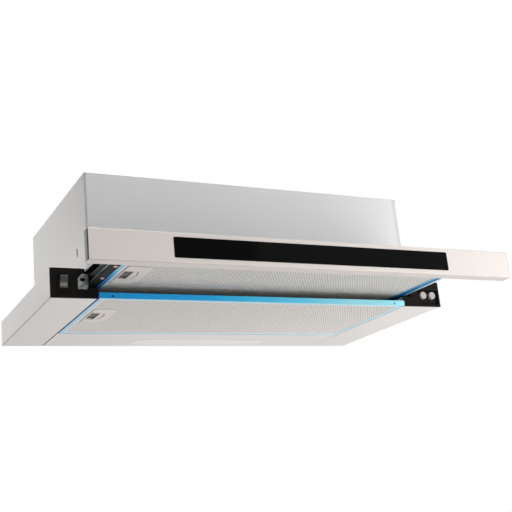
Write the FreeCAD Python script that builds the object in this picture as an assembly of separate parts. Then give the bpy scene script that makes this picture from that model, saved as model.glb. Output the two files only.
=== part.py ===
import FreeCAD, Part
import math
import os

from FreeCAD import Vector

# Pull out range hood, drawn with its visor pulled out.
# Frame: X to the right, Y towards the wall, Z up. The origin is the middle of the
# lower edge of the rear face, which stands against the wall. All sizes are in mm.

# Casing
overallWidth = 598.0
bodyDepth = 282.0
baseHeight = 38.0
sideBoxWidth = 51.0
leftPanelWidth = 60.0
rightPanelWidth = 67.5
boxTop = 172.0
boxSetback = 7.0
sheet = 0.8
bendRadius = 1.6
sideFlange = 8.7
frontPanelInset = 2.5
returnHeight = 14.0
slotHeightInSide = 10.3
slotWidthInSide = 3.0
slotCentreZ = 75.7
slotFromFront = 44.0

# Filters, one in the base and one in the visor
filterDepth = 199.0
filterThick = 7.5
filterFlange = 8.0
filterSheet = 0.8
filterGap = 1.0
filterOverhang = 2.0
meshGap = 0.1
upperFilterZ = 17.7
filterTabWidth = 15.0
filterTabReach = 4.0
filterTabThick = 1.2
filterTabLow = 1.2
filterTabInset = 40.0
filterHoleInset = 18.0
filterHoleRadius = 1.4

# Filter latch
latchWidth = 33.0
latchLength = 72.0
latchPlateThick = 2.0
latchPlateDrop = 0.3
latchFromFrame = 12.0
latchFromFront = 58.0
latchCornerRadius = 13.0
latchSmallRadius = 2.5
latchTravel = 5.0
tongueWidth = 18.0
tongueReach = 4.0
tongueThick = 1.2
sliderLength = 30.0
gripThick = 2.5
windowWidth = 11.5
windowLength = 34.0
windowFromEdge = 2.0
latchSlitWidth = 1.6

# Visor and its ball slides
visorTravel = 140.0
visorSideHeight = 20.0
visorSideWidth = 11.5
visorSideBottom = 16.0
visorSideSheet = 1.0
visorRearGap = 14.0
rightLipWidth = 4.0
shelfGap = 0.4
strapWidth = 16.0
strapFoot = 9.0
topOverhang = 4.3
topHem = 1.5
railSheet = 1.0
railLength = 264.0
railFrontInset = 2.0
fixedRailHeight = 16.0
fixedRailInset = 3.5
movingRailHeight = 9.6
movingRailWidth = 7.0
cageLength = 114.0
cageSheet = 0.6
ballRadius = 1.0
ballCount = 8
slideClearance = 0.3
footWidth = 6.0
rivetHeadRadius = 2.6
rivetHeadHeight = 1.2
rivetRadius = 1.5
rivetPitch = 51.0
rivetCount = 5
rivetFromFascia = 53.0

# Fascia
fasciaSideGap = 1.5
fasciaTop = 37.8
fasciaBottom = 0.6
fasciaDepth = 17.0
fasciaLip = 15.5
fasciaGap = 1.0
coreDepth = 6.0
glassFromLeft = 99.5
glassFromRight = 105.5
glassHeight = 24.7
glassThick = 3.0
glassBottom = 7.3
glassProud = 0.3
glassCorner = 1.5
rearBarDepth = 9.0

# Control housings and switches
housingPlate = 2.4
housingWall = 1.6
housingProud = 0.3
housingDepth = 47.0
bracketTabWidth = 12.0
bracketTabHeight = 19.9
bracketTabBottom = 11.5
bracketLeg = 42.0
bracketHoleWidth = 6.9
bracketHoleHeight = 4.2
rockerFromSide = 16.9
rockerZ = 21.0
rockerFrameWidth = 14.9
rockerFrameHeight = 24.0
rockerFrameProud = 1.4
rockerWidth = 9.5
rockerHalf = 8.6
rockerTilt = 12.0
rockerPinRadius = 1.0
rockerBodyDepth = 20.0
buttonRadius = 5.5
buttonFromSide = 30.4
buttonPitch = 16.4
buttonZ = 17.0
buttonProud = 1.5
buttonTravel = 3.0
buttonGap = 0.3
buttonHead = 9.0
plungerSide = 5.0
plungerLength = 9.0
pocketFromSide = 3.0
pocketWidth = 37.0
pocketBottom = 3.0
pocketTop = 25.0
pocketDepth = 3.0
slotUnderButtons = 1.2

# Lamp
lensLength = 227.0
lensWidth = 35.0
lensThick = 2.0
lensProud = 0.4
lensCentreX = 4.5
lensFromWall = 28.5
reflectorHeight = 12.0
reflectorWall = 1.0
lampBoardThick = 1.6
lampBoardWidth = 12.0
ledCount = 9
ledSide = 3.0

# Fan
fanFromWall = 133.0
fanCentreZ = 104.0
wheelRadius = 46.0
wheelWidth = 116.0
bladeDepth = 8.0
bladeThick = 1.0
bladeCount = 36
bladeCurve = 9.0
hubPlate = 2.0
wheelRing = 2.0
hubRadius = 9.0
hubLength = 18.0
shaftRadius = 4.0
shaftLength = 70.0
scrollWall = 2.0
scrollStart = 52.0
scrollShift = 5.0
scrollSideGap = 2.0
tongueOffset = 20.0
inletRadius = 40.0
motorRadius = 33.0
motorLength = 44.0
motorGap = 8.0
bracketRingWidth = 10.0
bracketArmWidth = 8.0
bracketThick = 2.0
runningClearance = 0.05

# Outlet collar and its back-draught flaps
collarRadius = 59.5
collarWall = 2.0
collarHeight = 42.0
collarFlangeRadius = 74.0
collarFlangeThick = 2.0
collarFromWall = 112.0
flapHeight = 14.0
flapThick = 1.2
flapGap = 0.9
flapPinRadius = 1.2
knuckleRadius = 2.6
knuckleCount = 4
knuckleLength = 22.0
knucklePitch = 24.0
ledgeReach = 2.0

# Electrical pieces
terminalWidth = 70.0
terminalDepth = 50.0
terminalHeight = 50.0
terminalWall = 2.0
terminalFromSide = 63.0
terminalFromWall = 45.0
glandBore = 4.0
glandStem = 7.8
glandFlange = 11.0
glandHeight = 4.0
glandReach = 9.0
capacitorRadius = 16.0
capacitorLength = 58.0
capacitorFromSide = 58.0
capacitorZ = 70.0
capacitorFootWidth = 44.0
capacitorFootHeight = 24.0
capacitorFootLow = 10.0
capacitorFootThick = 2.0
capacitorGap = 3.0
leadDiameter = 4.0
screwRadius = 1.6
screwHeadRadius = 3.4
screwHeadHeight = 1.8

# Places worked out from the sizes above
yFront = -bodyDepth
xSide = overallWidth / 2
xBox = xSide - sideBoxWidth
yBox = yFront + boxSetback
openingLeft = -xSide + leftPanelWidth
openingRight = xSide - rightPanelWidth
filterLeft = openingLeft + filterGap
filterRight = openingRight - filterGap
filterCentreX = (filterLeft + filterRight) / 2
lowerFilterY = yFront - filterOverhang
visorBack = yFront - fasciaGap - visorTravel
fasciaFront = visorBack - fasciaDepth
beamFront = fasciaFront + sheet + coreDepth + 0.2
upperFilterY = visorBack + 0.5
visorSideTop = visorSideBottom + visorSideHeight
slideZ = visorSideBottom + visorSideHeight / 2
sideFront = beamFront + sheet
sideRear = -visorRearGap - visorTravel
railFront = yFront + railFrontInset
yCollar = -collarFromWall
yFan = -fanFromWall
topUnder = boxTop - sheet
wingUnder = baseHeight - sheet
housingTop = baseHeight + housingProud
housingShelf = visorSideBottom - rivetHeadHeight - shelfGap
rockerX = -xSide + rockerFromSide
buttonLeftX = xSide - buttonFromSide
pocketRight = xSide - pocketFromSide
pocketLeft = pocketRight - pocketWidth
xFascia = xSide - fasciaSideGap
glassLeft = -xFascia + glassFromLeft
glassRight = xFascia - glassFromRight
terminalCentreX = xBox - terminalFromSide
capacitorX = -xBox + capacitorFromSide


def save(name, shape):
    """Write one node; several solids of one node go out together."""
    shape.exportStep("parts/" + name + ".step")


def group(shapes):
    return Part.makeCompound(shapes)


def box(x0, x1, y0, y1, z0, z1):
    corner = Vector(min(x0, x1), min(y0, y1), min(z0, z1))
    return Part.makeBox(abs(x1 - x0), abs(y1 - y0), abs(z1 - z0), corner)


def rod(start, axis, radius, length):
    return Part.makeCylinder(radius, length, Vector(*start), Vector(*axis))


def fuse(shapes):
    return shapes[0].fuse(shapes[1:]).removeSplitter()


def cut(shape, tools):
    return shape.cut(tools) if isinstance(tools, list) else shape.cut([tools])


def mirrorAtFilters(shape):
    """The other side of the filter bay: mirrored about the filters' middle."""
    return shape.mirror(Vector(filterCentreX, 0, 0), Vector(1, 0, 0))


def roundedRing(points, radii, place):
    """Closed wire through 2-D points, each corner rounded by its own radius."""
    count = len(points)
    starts = []
    ends = []
    middles = []
    for i in range(count):
        before = Vector(*points[i - 1], 0)
        corner = Vector(*points[i], 0)
        after = Vector(*points[(i + 1) % count], 0)
        toBefore = (before - corner).normalize()
        toAfter = (after - corner).normalize()
        half = toBefore.getAngle(toAfter) / 2
        setback = radii[i] / math.tan(half) if radii[i] else 0.0
        starts.append(corner + toBefore * setback)
        ends.append(corner + toAfter * setback)
        bisector = (toBefore + toAfter).normalize()
        middles.append(corner + bisector * (radii[i] / math.sin(half) - radii[i]))
    edges = []
    for i in range(count):
        if radii[i]:
            edges.append(Part.Arc(place(starts[i]), place(middles[i]), place(ends[i])).toShape())
        follow = (i + 1) % count
        if (starts[follow] - ends[i]).Length > 1e-6:
            edges.append(Part.LineSegment(place(ends[i]), place(starts[follow])).toShape())
    return Part.Wire(edges)


def prism(points, radii, axis, start, length):
    """Extrude a rounded outline along X, Y or Z; the outline's own axes keep X, Y, Z order."""
    places = {
        "X": lambda p: Vector(start, p.x, p.y),
        "Y": lambda p: Vector(p.x, start, p.y),
        "Z": lambda p: Vector(p.x, p.y, start),
    }
    along = {"X": Vector(length, 0, 0), "Y": Vector(0, length, 0), "Z": Vector(0, 0, length)}
    if not isinstance(radii, list):
        radii = [radii] * len(points)
    return Part.Face(roundedRing(points, radii, places[axis])).extrude(along[axis])


def foldedSheet(points, thick, axis, start, length):
    """A folded sheet: points follow its outer face, and the metal lies to their left."""
    inner = []
    last = len(points) - 1
    for i, point in enumerate(points):
        here = Vector(*point, 0)
        normals = []
        for a, b in ((i - 1, i), (i, i + 1)):
            if 0 <= a and b <= last:
                run = (Vector(*points[b], 0) - Vector(*points[a], 0)).normalize()
                normals.append(Vector(-run.y, run.x, 0))
        if len(normals) == 1:
            shift = normals[0] * thick
        else:
            both = normals[0] + normals[1]
            shift = both * (2 * thick / both.dot(both))
        inner.append(here + shift)
    outerRadii = [0.0] + [bendRadius] * (last - 1) + [0.0]
    innerRadii = [0.0] + [bendRadius - thick] * (last - 1) + [0.0]
    ring = list(points) + [(p.x, p.y) for p in reversed(inner)]
    return prism(ring, outerRadii + innerRadii[::-1], axis, start, length)


# Casing sheets

def tongueSlot(x0, x1, y0, z0):
    """The keeper slot for a filter latch's tongue."""
    middle = y0 + latchFromFront + latchLength / 2
    half = tongueWidth / 2 + 1.0
    low = z0 + latchPlateThick - latchPlateDrop - slideClearance
    return box(x0, x1, middle - half, middle + half, low, low + tongueThick + 3 * slideClearance)


def tabSlots(x0, x1, y0, z0, low):
    """The two slots that the tabs of a filter hook into."""
    slots = []
    for middle in (y0 + filterTabInset, y0 + filterDepth - filterTabInset):
        half = filterTabWidth / 2 + 1.0
        slots.append(box(x0, x1, middle - half, middle + half, low, z0 + filterThick / 2 + 1.0))
    return slots


def makeBaseSideLeft():
    profile = [
        (-xBox + sheet, baseHeight),
        (-xSide, baseHeight),
        (-xSide, 0),
        (openingLeft, 0),
        (openingLeft, returnHeight),
    ]
    length = bodyDepth - housingPlate - sheet
    folded = foldedSheet(profile, sheet, "Y", yFront + housingPlate, length)
    return cut(folded, tongueSlot(openingLeft - 2.0, openingLeft + 1.0, lowerFilterY, 0))


def makeBaseSideRight():
    profile = [
        (openingRight, returnHeight),
        (openingRight, 0),
        (xSide, 0),
        (xSide, baseHeight),
        (xBox - sheet, baseHeight),
    ]
    length = bodyDepth - housingPlate - sheet
    folded = foldedSheet(profile, sheet, "Y", yFront + housingPlate, length)
    slots = tabSlots(openingRight - 1.0, openingRight + 1.5, lowerFilterY, 0, sheet)
    return cut(folded, slots)


def makeBaseBack():
    return box(-xSide, xSide, -sheet, 0, 0, baseHeight)


def lensOutline(grow):
    half = lensLength / 2 + grow
    wide = lensWidth / 2 + grow
    y = -lensFromWall
    return [
        (lensCentreX - half, y - wide),
        (lensCentreX + half, y - wide),
        (lensCentreX + half, y + wide),
        (lensCentreX - half, y + wide),
    ]


def lensSolid(grow, z0, height):
    radius = (lensWidth / 2 + grow) * 0.98
    return prism(lensOutline(grow), radius, "Z", z0, height)


def makeLampPanel():
    front = lowerFilterY + filterDepth + filterGap
    profile = [(-sheet, 0), (front, 0), (front, returnHeight)]
    points = [(y, z) for y, z in reversed(profile)]
    width = openingRight - openingLeft - 2 * sheet - 0.4
    folded = foldedSheet(points, sheet, "X", openingLeft + sheet + 0.2, width)
    return cut(folded, lensSolid(0.2, -1.0, 4.0))


def makeBoxSideLeft():
    yRear = -sheet
    profile = [
        (-xBox + sideFlange, yRear),
        (-xBox, yRear),
        (-xBox, yBox + sheet),
        (-xBox + sideFlange, yBox + sheet),
    ]
    side = foldedSheet(profile, sheet, "Z", baseHeight, topUnder - baseHeight)
    yFirst = yBox + slotFromFront
    slots = []
    for y in (yFirst, -sheet - (yFirst - yBox)):
        low = slotCentreZ - slotHeightInSide / 2
        outline = [
            (y - slotWidthInSide / 2, low),
            (y + slotWidthInSide / 2, low),
            (y + slotWidthInSide / 2, low + slotHeightInSide),
            (y - slotWidthInSide / 2, low + slotHeightInSide),
        ]
        slots.append(prism(outline, slotWidthInSide * 0.49, "X", -xBox - 1.0, 3.0))
    return cut(side, slots)


def makeBoxSideRight():
    return makeBoxSideLeft().mirror(Vector(0, 0, 0), Vector(1, 0, 0))


def makeBoxFront():
    right = xBox - sideFlange + sheet
    return box(-xBox + frontPanelInset, right, yBox, yBox + sheet, baseHeight, topUnder)


def makeBoxBack():
    return box(-xBox, xBox, -sheet, 0, baseHeight, topUnder)


def makeBoxTop():
    top = box(-xBox, xBox, yBox, 0, topUnder, boxTop)
    outlet = rod((0, yCollar, topUnder - 1), (0, 0, 1), collarRadius - 2 * collarWall, 4)
    gland = rod((terminalCentreX, -terminalFromWall, topUnder - 1), (0, 0, 1), glandStem + 0.2, 4)
    holes = [outlet, gland]
    for x, y in collarScrewPlaces():
        holes.append(rod((x, y, topUnder - 1), (0, 0, 1), screwRadius + 0.05, 4))
    return cut(top, holes)


# Control housings and switches

def housingShell(x0, x1):
    y0 = yFront + housingPlate
    outer = box(x0, x1, y0, yFront + housingDepth, sheet + 0.6, wingUnder - 0.6)
    inner = box(
        x0 + housingWall,
        x1 - housingWall,
        y0 - 1,
        yFront + housingDepth + 1,
        sheet + 0.6 + housingWall,
        wingUnder - 0.6 - housingWall,
    )
    return outer.cut(inner)


def topSheetSlot():
    """The notch in the left housing that the edge of the visor's top sheet runs through."""
    low = visorSideTop - topHem - 2 * slideClearance
    left = topSheetLeft() - 2 * slideClearance
    return box(left, openingLeft, yFront - 1, yFront + 9, low, housingTop + 1)


def makeControlHousingLeft():
    shelfRight = openingLeft
    cutLeft = openingLeft - visorSideWidth - 2.2
    plate = box(-xSide, shelfRight, yFront, yFront + housingPlate, 0, housingTop)
    passage = box(cutLeft, shelfRight + 1, yFront - 1, yFront + 9, housingShelf, housingTop + 1)
    tabRight = openingLeft - visorSideWidth - 1.5
    seat = box(
        tabRight - bracketTabWidth - slideClearance,
        cutLeft + 1,
        yFront - 1,
        yFront + railSheet - 0.2,
        bracketTabBottom - slideClearance,
        bracketTabBottom + bracketTabHeight + slideClearance,
    )
    shell = housingShell(-xSide + sheet + 0.6, tabRight - bracketTabWidth + 8.0)
    solid = fuse([plate, shell])
    halfWidth = rockerFrameWidth / 2 - 1.0
    halfHeight = rockerFrameHeight / 2 - 1.0
    window = box(
        rockerX - halfWidth - 0.1,
        rockerX + halfWidth + 0.1,
        yFront - 1,
        yFront + housingPlate + 1,
        rockerZ - halfHeight - 0.1,
        rockerZ + halfHeight + 0.1,
    )
    return cut(solid, [passage, topSheetSlot(), seat, window])


def buttonPlaces():
    return [buttonLeftX, buttonLeftX + buttonPitch]


def makeControlHousingRight():
    shelfLeft = openingRight
    cutRight = openingRight + visorSideWidth + 2.2
    plate = box(shelfLeft, xSide, yFront, yFront + housingPlate, 0, housingTop)
    floor = box(
        pocketLeft - housingWall,
        xSide - sheet - 0.6,
        yFront + housingPlate,
        yFront + pocketDepth + housingWall,
        sheet + 0.6,
        pocketTop + housingWall,
    )
    passage = box(shelfLeft - 1, cutRight, yFront - 1, yFront + 9, housingShelf, housingTop + 1)
    shell = housingShell(cutRight + 5.0, xSide - sheet - 0.6)
    pocket = prism(
        [
            (pocketLeft, pocketBottom),
            (pocketRight, pocketBottom),
            (pocketRight, pocketTop),
            (pocketLeft, pocketTop),
        ],
        1.5,
        "Y",
        yFront - 1,
        pocketDepth + 1,
    )
    holes = [passage, mirrorAtFilters(topSheetSlot()), pocket]
    for x in buttonPlaces():
        holes.append(rod((x, yFront - 1, buttonZ), (0, 1, 0), buttonRadius + buttonGap, 9))
    slotBottom = pocketBottom + slotUnderButtons
    holes.append(
        box(
            pocketLeft + 4,
            pocketRight - 3,
            yFront - 1,
            yFront + pocketDepth + 0.9,
            slotBottom,
            slotBottom + slotUnderButtons,
        )
    )
    return cut(fuse([plate, floor, shell]), holes)


def makeRockerSwitchBody():
    frame = prism(
        [
            (rockerX - rockerFrameWidth / 2, rockerZ - rockerFrameHeight / 2),
            (rockerX + rockerFrameWidth / 2, rockerZ - rockerFrameHeight / 2),
            (rockerX + rockerFrameWidth / 2, rockerZ + rockerFrameHeight / 2),
            (rockerX - rockerFrameWidth / 2, rockerZ + rockerFrameHeight / 2),
        ],
        1.2,
        "Y",
        yFront - rockerFrameProud,
        rockerFrameProud,
    )
    halfWidth = rockerFrameWidth / 2 - 1.0
    halfHeight = rockerFrameHeight / 2 - 1.0
    body = box(
        rockerX - halfWidth,
        rockerX + halfWidth,
        yFront,
        yFront + rockerBodyDepth,
        rockerZ - halfHeight,
        rockerZ + halfHeight,
    )
    cavity = box(
        rockerX - rockerWidth / 2 - 0.2,
        rockerX + rockerWidth / 2 + 0.2,
        yFront - 5,
        yFront + rockerPivotDepth() + 6.0,
        rockerZ - rockerHalf - 1.0,
        rockerZ + rockerHalf + 1.0,
    )
    reach = rockerWidth / 2 + 1.2
    pinHole = rod(
        (rockerX - reach, yFront + rockerPivotDepth(), rockerZ),
        (1, 0, 0),
        rockerPinRadius + runningClearance,
        2 * reach,
    )
    return cut(fuse([frame, body]), [cavity, pinHole])


def rockerPivotDepth():
    return 2.4


def makeRocker():
    y = yFront + rockerPivotDepth()
    outline = [
        (y - 5.0, rockerZ + rockerHalf),
        (y - 3.6, rockerZ),
        (y - 5.0, rockerZ - rockerHalf),
        (y + 1.5, rockerZ - rockerHalf * 0.8),
        (y + 3.0, rockerZ),
        (y + 1.5, rockerZ + rockerHalf * 0.8),
    ]
    radii = [0.8, 0.0, 0.8, 0.6, 1.0, 0.6]
    body = prism(outline, radii, "X", rockerX - rockerWidth / 2, rockerWidth)
    reach = rockerWidth / 2 + 1.0
    pin = rod((rockerX - reach, y, rockerZ), (1, 0, 0), rockerPinRadius, 2 * reach)
    rocker = fuse([body, pin])
    rocker.rotate(Vector(rockerX, y, rockerZ), Vector(1, 0, 0), rockerTilt)
    return rocker


def makeButtonSwitchBody():
    y0 = yFront + pocketDepth + housingWall + buttonHead
    x0 = buttonLeftX - 8.0
    x1 = buttonLeftX + buttonPitch + 7.0
    body = box(x0, x1, y0, y0 + 20.0, buttonZ - 9.0, buttonZ + 9.0)
    tools = []
    for x in buttonPlaces():
        half = plungerSide / 2 + slideClearance
        y1 = y0 + plungerLength + buttonTravel + 2.0
        tools.append(box(x - half, x + half, y0 - 1, y1, buttonZ - half, buttonZ + half))
    return cut(body, tools)


def makePushButton(x):
    y0 = yFront - buttonProud
    head = rod((x, y0, buttonZ), (0, 1, 0), buttonRadius, buttonHead)
    rims = [e for e in head.Edges if abs(e.BoundBox.YMax - y0) < 1e-6 and e.BoundBox.YLength < 1e-6]
    head = head.makeFillet(0.6, rims)
    half = plungerSide / 2
    y1 = y0 + buttonHead
    plunger = box(x - half, x + half, y1 - 0.5, y1 + plungerLength, buttonZ - half, buttonZ + half)
    return fuse([head, plunger])


# Slides of the visor, drawn for the left side and mirrored for the right

def bracketWebX():
    return openingLeft - visorSideWidth - 0.5


def frontBracketLeft():
    """The bracket at the front end of the left slide, with the tab that shows beside the rocker."""
    xWeb = bracketWebX()
    legX = xWeb - railSheet
    tabY = yFront - 0.2
    leg = box(
        legX,
        xWeb,
        tabY,
        tabY + bracketLeg,
        slideZ - fixedRailHeight / 2,
        bracketTabBottom + bracketTabHeight,
    )
    tab = box(
        legX - bracketTabWidth,
        xWeb,
        tabY,
        tabY + railSheet,
        bracketTabBottom,
        bracketTabBottom + bracketTabHeight,
    )
    leg = cut(leg, box(legX - 1, xWeb + 1, tabY - 1, tabY + railSheet + 2, 0, housingShelf + 0.2))
    corner = box(legX - 0.1, xWeb + 1, tabY - 1, tabY + 2, 0, housingShelf + 0.2)
    bracket = cut(fuse([leg, tab]), corner)
    xMid = legX - bracketTabWidth / 2
    zHole = bracketTabBottom + bracketTabHeight * 0.62
    hole = prism(
        [
            (xMid - bracketHoleWidth / 2, zHole - bracketHoleHeight / 2),
            (xMid + bracketHoleWidth / 2, zHole - bracketHoleHeight / 2),
            (xMid + bracketHoleWidth / 2, zHole + bracketHoleHeight / 2),
            (xMid - bracketHoleWidth / 2, zHole + bracketHoleHeight / 2),
        ],
        bracketHoleHeight * 0.48,
        "Y",
        tabY - 1,
        3,
    )
    cuts = [hole]
    for z in (bracketTabBottom + 2.4, bracketTabBottom + 6.0):
        cuts.append(box(xMid - 4.6, xMid + 4.6, tabY - 1, tabY + 0.4, z, z + 1.0))
    bevel = prism(
        [
            (legX - bracketTabWidth - 1, bracketTabBottom + bracketTabHeight - 7.0),
            (legX - bracketTabWidth + 6.0, bracketTabBottom + bracketTabHeight + 1),
            (legX - bracketTabWidth - 1, bracketTabBottom + bracketTabHeight + 1),
        ],
        0.0,
        "Y",
        tabY - 1,
        3,
    )
    cuts.append(bevel)
    return cut(bracket, cuts)


def hangersLeft():
    """Three stepped straps that hang the fixed rail from the wing, clear of the visor's top."""
    xWeb = bracketWebX()
    xStep = topSheetLeft() - 3 * slideClearance
    shelf = visorSideTop - topHem - 2 * slideClearance
    profile = [
        (xWeb, slideZ - fixedRailHeight / 4),
        (xWeb, shelf),
        (xStep, shelf),
        (xStep, wingUnder),
        (xStep - strapFoot, wingUnder),
    ]
    straps = []
    for share in (0.25, 0.55, 0.9):
        y = railFront + railLength * share
        straps.append(foldedSheet(profile, railSheet, "Y", y - strapWidth / 2, strapWidth))
    return straps


def fixedRailLeft():
    xWeb = openingLeft - visorSideWidth - 0.5
    lip = openingLeft - fixedRailInset
    top = slideZ + fixedRailHeight / 2
    low = slideZ - fixedRailHeight / 2
    profile = [(lip, top), (xWeb, top), (xWeb, low), (lip, low)]
    return foldedSheet(profile, railSheet, "Y", railFront, railLength)


def movingRailLeft():
    xBack = openingLeft - visorSideSheet
    lip = xBack - railSheet - movingRailWidth
    top = slideZ + movingRailHeight / 2
    low = slideZ - movingRailHeight / 2
    foot = visorSideBottom + visorSideSheet
    y0 = visorBack + 2.0
    length = sideRear - y0
    web = box(xBack - railSheet, xBack, y0, y0 + length, foot, top)
    upper = box(lip, xBack - railSheet, y0, y0 + length, top - railSheet, top)
    lower = box(lip, xBack - railSheet, y0, y0 + length, low, low + railSheet)
    sole = box(xBack - railSheet - footWidth, xBack, y0, y0 + length, foot, foot + railSheet - 0.2)
    rail = fuse([web, upper, lower, sole])
    tools = [tongueSlot(xBack - 3, xBack + 1, upperFilterY, upperFilterZ)]
    for y in rivetPlaces():
        tools.append(rod((rivetX(), y, foot - 1), (0, 0, 1), rivetRadius + runningClearance, 3))
    return cut(rail, tools)


def rivetX():
    return openingLeft - visorSideSheet - railSheet - footWidth / 2 - 0.5


def rivetPlaces():
    return [visorBack + rivetFromFascia + rivetPitch * i for i in range(rivetCount)]


def ballCageLeft():
    """The cage and its balls, halfway between the two rails at every visor position."""
    overlapMid = (railFront + sideRear) / 2
    y0 = overlapMid - cageLength / 2
    xWeb = openingLeft - visorSideWidth - 0.5 + railSheet + 0.7
    xLip = openingLeft - fixedRailInset - 0.5
    gap = fixedRailHeight / 2 - railSheet - movingRailHeight / 2
    zBall = movingRailHeight / 2 + gap / 2
    strip = 0.8
    web = box(
        xWeb,
        xWeb + cageSheet,
        y0,
        y0 + cageLength,
        slideZ - zBall - strip / 2,
        slideZ + zBall + strip / 2,
    )
    shapes = [web]
    balls = []
    holes = []
    xBall = (xWeb + xLip) / 2 + 0.2
    for side in (-1, 1):
        z = slideZ + side * zBall
        shapes.append(box(xWeb, xLip, y0, y0 + cageLength, z - strip / 2, z + strip / 2))
        for i in range(ballCount):
            y = y0 + (i + 0.5) * cageLength / ballCount
            balls.append(Part.makeSphere(ballRadius, Vector(xBall, y, z)))
            holes.append(rod((xBall, y, z - 1), (0, 0, 1), ballRadius + runningClearance, 2))
    return [cut(fuse(shapes), holes)] + balls


def visorSideLeft():
    xBack = openingLeft
    xLip = openingLeft - visorSideWidth
    y0 = sideFront
    length = sideRear - y0
    web = box(xBack - visorSideSheet, xBack, y0, y0 + length, visorSideBottom, visorSideTop)
    low = box(xLip, xBack, y0, y0 + length, visorSideBottom, visorSideBottom + visorSideSheet)
    top = box(xLip, xBack, y0, y0 + length, visorSideTop - visorSideSheet, visorSideTop)
    tools = [tongueSlot(xBack - 3, xBack + 1, upperFilterY, upperFilterZ)]
    for y in rivetPlaces():
        start = (rivetX(), y, visorSideBottom - 1)
        tools.append(rod(start, (0, 0, 1), rivetRadius + runningClearance, 3))
    return cut(fuse([web, low, top]), tools)


def visorSideRight():
    """As the left side member, with a narrow lower lip and no rivet holes."""
    side = mirrorAtFilters(visorSideLeft())
    lipEnd = openingRight + rightLipWidth
    lipCut = box(lipEnd, lipEnd + visorSideWidth, sideFront - 1, 0, 0, slideZ)
    side = cut(side, lipCut)
    low = upperFilterZ - 0.3
    return cut(side, tabSlots(openingRight - 1, openingRight + 3, upperFilterY, upperFilterZ, low))


def movingRailRight():
    """As the left one, but welded by its web, so with no riveted foot."""
    rail = mirrorAtFilters(movingRailLeft())
    footStart = openingRight + visorSideSheet + railSheet
    footEnd = footStart + visorSideWidth
    rail = cut(rail, box(footStart, footEnd, fasciaFront, 0, 0, visorSideBottom + 3.0))
    low = upperFilterZ - 0.3
    x0 = openingRight + 0.5
    return cut(rail, tabSlots(x0, x0 + 2.4, upperFilterY, upperFilterZ, low + 0.8))


def visorRivets():
    rivets = []
    for y in rivetPlaces():
        low = visorSideBottom - rivetHeadHeight
        head = rod((rivetX(), y, low), (0, 0, 1), rivetHeadRadius, rivetHeadHeight)
        rims = [e for e in head.Edges if e.BoundBox.ZMax < low + 1e-6]
        head = head.makeFillet(rivetHeadHeight * 0.6, rims)
        length = rivetHeadHeight + visorSideSheet + railSheet - 0.2
        rivets.append(fuse([head, rod((rivetX(), y, low), (0, 0, 1), rivetRadius, length)]))
    return rivets


# Visor frame and fascia

def makeFrontBeam():
    half = xFascia - 0.2
    low = fasciaBottom + sheet
    top = fasciaTop - sheet
    rearLow = fasciaFront + fasciaLip
    web = box(-half, half, beamFront, beamFront + sheet, low, top)
    bottom = box(-half, half, beamFront, rearLow, low, low + sheet)
    upper = box(-half, half, beamFront, visorBack - 1.0, top - sheet, top)
    ends = []
    for x in (-half, half - sheet):
        ends.append(box(x, x + sheet, beamFront, rearLow, low, top))
    return fuse([web, bottom, upper] + ends)


def topSheetLeft():
    return openingLeft - visorSideWidth - topOverhang


def makeTopSheet():
    xLeft = topSheetLeft()
    z = visorSideTop
    width = 2 * (filterCentreX - xLeft)
    y0 = visorBack - 0.8
    plate = box(xLeft, xLeft + width, y0, yBox, z, z + sheet)
    hem = box(xLeft, xLeft + sheet, y0, yBox, z - topHem, z)
    apron = box(
        openingLeft + 0.2,
        openingRight - 0.2,
        visorBack - 0.8,
        visorBack,
        upperFilterZ - 0.7,
        z,
    )
    return fuse([plate, apron, hem, mirrorAtFilters(hem)])


def makeRearBar():
    y0 = upperFilterY + filterDepth + filterGap
    low = upperFilterZ - 0.7
    width = openingRight - openingLeft - 0.4
    profile = [(y0 + rearBarDepth, visorSideTop), (y0, visorSideTop), (y0, low)]
    return foldedSheet(profile, sheet, "X", openingLeft + 0.2, width)


def glassBox(grow, y0, y1):
    low = glassBottom - grow
    high = glassBottom + glassHeight + grow
    outline = [
        (glassLeft - grow, low),
        (glassRight + grow, low),
        (glassRight + grow, high),
        (glassLeft - grow, high),
    ]
    return prism(outline, glassCorner + grow, "Y", y0, y1 - y0)


def makeFasciaPanel():
    profile = [
        (fasciaFront + fasciaDepth, fasciaTop),
        (fasciaFront, fasciaTop),
        (fasciaFront, fasciaBottom),
        (fasciaFront + fasciaLip, fasciaBottom),
    ]
    panel = foldedSheet(profile, sheet, "X", -xFascia, 2 * xFascia)
    return cut(panel, glassBox(0.15, fasciaFront - 1, fasciaFront + 2))


def makeFasciaCore():
    y0 = fasciaFront + sheet + 0.1
    half = xFascia - 0.2
    low = fasciaBottom + sheet
    top = fasciaTop - sheet
    edge = bendRadius
    outline = [(y0, low), (beamFront, low), (beamFront, top), (y0, top)]
    core = prism(outline, [edge, 0.0, 0.0, edge], "X", -half, 2 * half)
    glassRear = fasciaFront - glassProud + glassThick
    return cut(core, glassBox(0.15, y0 - 1, glassRear + 0.05))


def makeFasciaGlass():
    y0 = fasciaFront - glassProud
    return glassBox(0.0, y0, y0 + glassThick)


# Filters

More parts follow.
